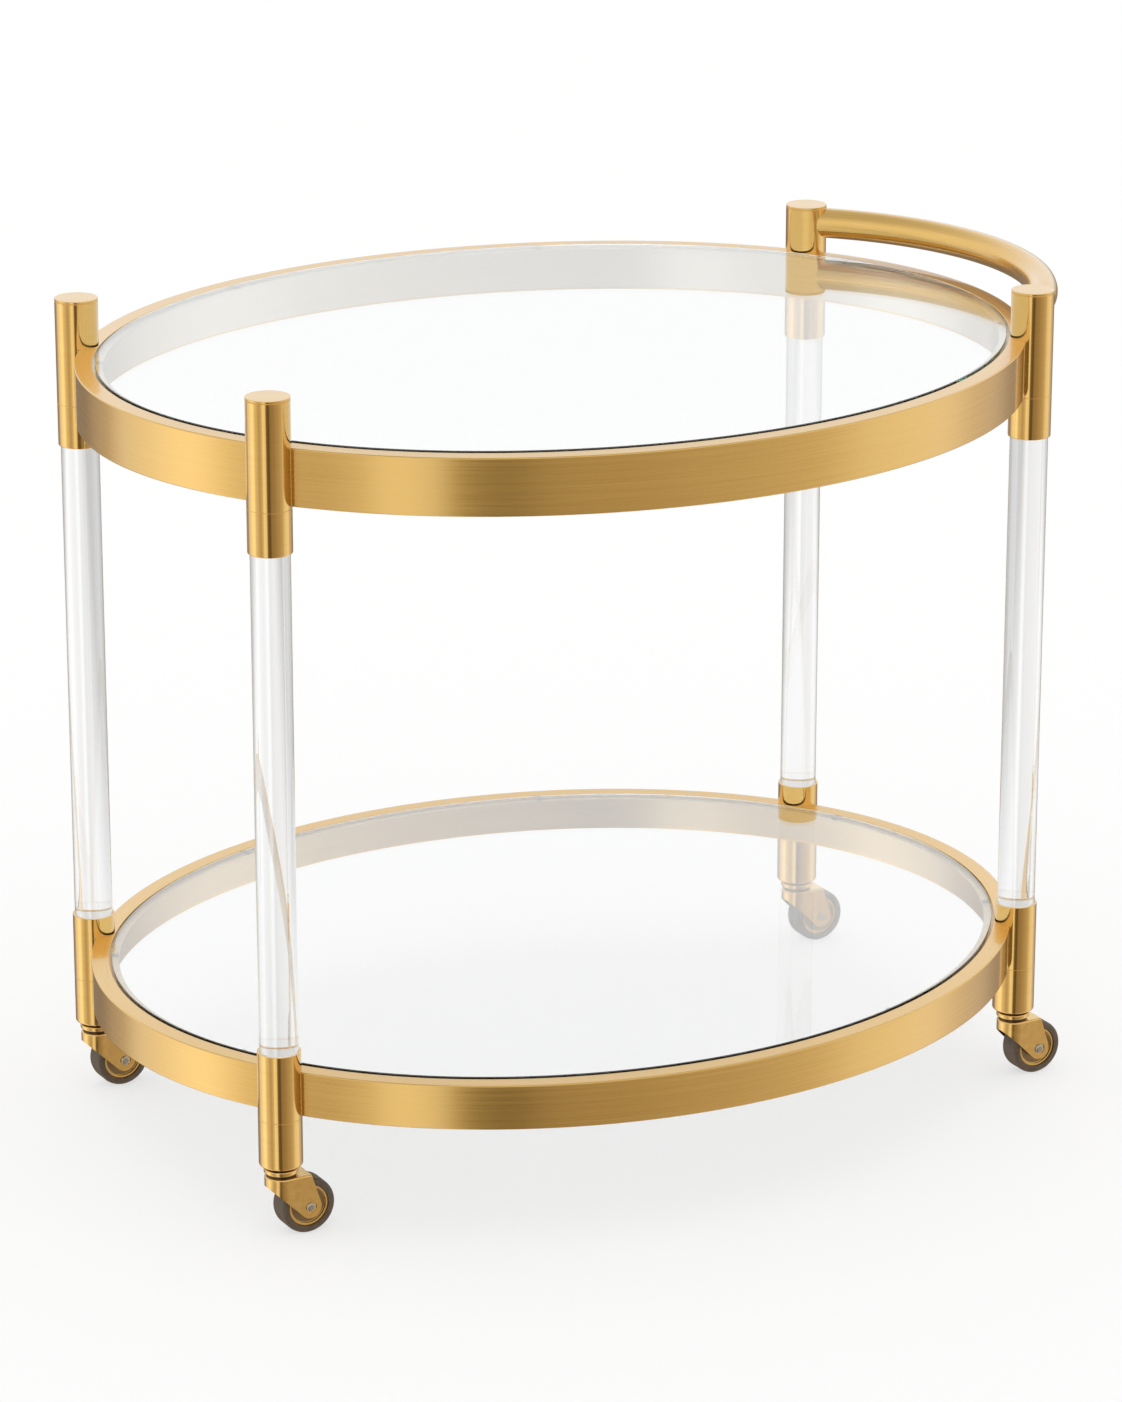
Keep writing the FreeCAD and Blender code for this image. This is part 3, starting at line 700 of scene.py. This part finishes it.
def make_caster(corner):
    """The swivelling race, axle, hub and tyre of one caster. The race's near-black and the hub face's dark
    brass are painted shade.
    """
    node = f"{corner}_ball_race"
    bottom = low(node)[2]
    outer, bore = half_size(node)[0], kingpin_radius + running_gap
    # The lower race is near-black: painted shade for the gap under the race cup.
    ring = softened([(bore, bottom, 0), (outer, bottom, 0), (outer, lower_race_top, fine_edge),
                     (bore, lower_race_top, 0)], True)
    piece(node, [turned(ring, post_ground(corner), True)], painted_shade_metal, f"{corner}_caster",
          [node])

    hub = middle(f"{corner}_wheel_hub")
    node = f"{corner}_axle"
    half = half_size(node)[1]
    head = half_size(node)[0]
    near = [(0, -half, 0), (head * axle_head_flat, -half, axle_crown_edge),
            (head, -half + axle_head * axle_head_side, axle_side_edge), (head, -half + axle_head, 0),
            (axle_radius, -half + axle_head, 0)]
    far = [(radius, -height, edge) for radius, height, edge in reversed(near)]
    piece(node, [turned(softened(near + far, False), hub, False, upright=False, columns=axle_columns)],
          rivet_metal, f"{corner}_caster", [node])

    node = f"{corner}_wheel_hub"
    rim = half_size(node)[0]
    boss_half = half_size(node)[1]
    tyre_half = half_size(f"{corner}_wheel_tyre")[1]
    web, face, rim_inside = -tyre_half + hub_web_recess, -tyre_half + hub_rim_recess, rim - hub_rim
    near = [(axle_radius + running_gap, -boss_half, 0), (hub_boss, -boss_half, hub_boss_edge),
            (hub_boss, web, hub_web_edge), (rim_inside, web, hub_web_fillet),
            (rim_inside, face, hub_face_edge), (rim, face, hub_rim_edge)]
    far = [(radius, -height, edge) for radius, height, edge in reversed(near)]
    made = piece(node, [turned(softened(near + far, True), hub, True, upright=False)], hub_painted_shade,
                 f"{corner}_wheel", [node])
    made.data.materials.append(hub_rim_brass)
    centres = np.empty(len(made.data.polygons) * 3, dtype=np.float32)
    made.data.polygons.foreach_get("center", centres)
    from_axle = np.linalg.norm(centres.reshape(-1, 3)[:, ::2] - hub[::2], axis=1)
    on_rim = from_axle > rim_inside - hub_face_edge
    made.data.polygons.foreach_set("material_index", on_rim.astype(np.int32))

    node = f"{corner}_wheel_tyre"
    outer = half_size(node)[0]
    near = [(rim, -tyre_half, tyre_foot_edge), (outer, -tyre_half, tyre_shoulder)]
    far = [(radius, -height, edge) for radius, height, edge in reversed(near)]
    piece(node, [turned(softened(near + far, True), hub, True, upright=False)], rubber,
          f"{corner}_wheel", [node])


make_stems()
make_race_cups()
for corner in CORNERS:
    make_caster(corner)
    finish_node(f"{corner}_caster_fork", fork_brass)

for name in ("handle_plugs", "handle_bolts", "upper_rod_screws", "lower_rod_screws"):
    finish_node(name, screw_metal)


# ======== studio ========
# Panels round the cart as brass mirrors them: degrees to the right of the camera, and brightness.
PANELS = ((-180, .25), (-150, .26), (-130, .50), (-112, 1.0), (-82, 1.4), (-62, .84), (-42, .60),
          (-31, .76), (-23, 1.14), (-12, 1.04), (-5, .20), (6, .15), (14, .36), (27, .40), (50, .52),
          (68, .64), (88, .98), (106, 1.06), (126, .70), (150, .30), (180, .25))
# The floor as clear pieces show it: how far to the camera's side it starts to darken, where it is darkest,
# and how bright it is there.
rod_view = (0.60, 1.10, 0.58)
floor_reach = 60.0
floor_paper = (0.36, 0.36, 0.358, 1)
floor_glow = 0.615
camera_azimuth = math.radians(29.0)
camera_elevation = math.radians(18.24)
camera_distance = 4.812
camera_lens = 137.3
camera_target = (-0.0156, 0.0, 0.3655)
white_surround = (1.07, 1.07, 1.07, 1)


def make_floor():
    """A wide white floor, partly lit from beneath so that shadows stay faint. Rays bent by the clear rods
    find it darker out to both sides, as a studio's paper is beyond its lamps, and so the rods get their
    grey edges."""
    material, tree, output = new_material("floor_white")
    place = add(tree, "ShaderNodeTexCoord").outputs["Object"]
    camera_right = (math.cos(camera_azimuth), -math.sin(camera_azimuth), 0)
    sideways = add(tree, "ShaderNodeVectorMath", {0: place, 1: camera_right},
                   operation="DOT_PRODUCT").outputs["Value"]
    near, far, level = rod_view
    darker = between(tree, math_node(tree, "ABSOLUTE", sideways), near, far, 0, 1)
    bent = add(tree, "ShaderNodeLightPath").outputs["Is Transmission Ray"]
    lost = math_node(tree, "MULTIPLY", math_node(tree, "MULTIPLY", darker, bent), 1 - level)
    share = math_node(tree, "SUBTRACT", 1.0, lost)
    tone = add(tree, "ShaderNodeCombineXYZ", {0: share, 1: share, 2: share}).outputs[0]
    paper = add(tree, "ShaderNodeBsdfDiffuse", {
        "Color": colour_mix(tree, share, (0, 0, 0, 1), floor_paper)})
    glow = add(tree, "ShaderNodeEmission", {"Color": tone, "Strength": floor_glow})
    both = add(tree, "ShaderNodeAddShader", {0: paper.outputs[0], 1: glow.outputs[0]})
    tree.links.new(both.outputs[0], output.inputs[0])
    material.cycles.emission_sampling = "NONE"
    mesh = bpy.data.meshes.new("floor")
    reach = floor_reach
    mesh.from_pydata([(-reach, -reach, 0), (reach, -reach, 0), (reach, reach, 0), (-reach, reach, 0)], [],
                     [(0, 1, 2, 3)])
    floor = bpy.data.objects.new("floor", mesh)
    floor.data.materials.append(material)
    bpy.context.scene.collection.objects.link(floor)
    floor.visible_glossy = False


def make_camera():
    """A long lens, a little above the cart and to the left of its front."""
    azimuth, elevation = camera_azimuth, camera_elevation
    back = np.array([-math.sin(azimuth) * math.cos(elevation), -math.cos(azimuth) * math.cos(elevation),
                     math.sin(elevation)])
    data = bpy.data.cameras.new("camera")
    data.lens = camera_lens
    data.sensor_width = 36
    camera = bpy.data.objects.new("camera", data)
    camera.location = np.array(camera_target) + back * camera_distance
    camera.rotation_euler = (math.pi / 2 - elevation, 0, -azimuth)
    bpy.context.scene.collection.objects.link(camera)
    bpy.context.scene.camera = camera


def make_surroundings():
    """White light from everywhere, and for mirrored light a studio of upright bright and dark panels."""
    world = bpy.data.worlds.new("studio")
    world.use_nodes = True
    tree = world.node_tree
    tree.nodes.clear()
    way = add(tree, "ShaderNodeTexCoord").outputs["Generated"]
    parts = add(tree, "ShaderNodeSeparateXYZ", {0: way})
    turn = math_node(tree, "ARCTAN2", parts.outputs[1], parts.outputs[0])
    turn = math_node(tree, "ADD", turn, camera_azimuth + math.radians(270))
    share = math_node(tree, "FRACT", math_node(tree, "DIVIDE", turn, math.tau))
    ramp = add(tree, "ShaderNodeValToRGB", {0: share})
    ramp.color_ramp.interpolation = "EASE"
    while len(ramp.color_ramp.elements) < len(PANELS):
        ramp.color_ramp.elements.new(0.5)
    for element, (degrees, level) in zip(ramp.color_ramp.elements, PANELS):
        warmth = min(level, 1.0)
        element.position = 0.5 + degrees / 360
        element.color = (level, level * (0.71 + 0.29 * warmth), level * (0.42 + 0.58 * warmth), 1)
    up = parts.outputs[2]
    over_head = between(tree, up, 0.45, 0.85, 1.0, 0.62)
    ceiling = add(tree, "ShaderNodeCombineXYZ", {0: over_head, 1: over_head, 2: over_head}).outputs[0]
    mirrored = colour_mix(tree, between(tree, up, -0.15, 0.06, 0, 1), ramp.outputs[0], ceiling)
    glossy = add(tree, "ShaderNodeLightPath").outputs["Is Glossy Ray"]
    seen = colour_mix(tree, glossy, white_surround, mirrored)
    background = add(tree, "ShaderNodeBackground", {"Color": seen, "Strength": 1.0})
    add(tree, "ShaderNodeOutputWorld", {"Surface": background.outputs[0]})
    bpy.context.scene.world = world


make_floor()
make_camera()
make_surroundings()
bpy.context.scene.view_settings.view_transform = "Standard"
bpy.context.scene.cycles.max_bounces = 20
bpy.context.scene.cycles.glossy_bounces = 12
bpy.context.scene.cycles.transmission_bounces = 16
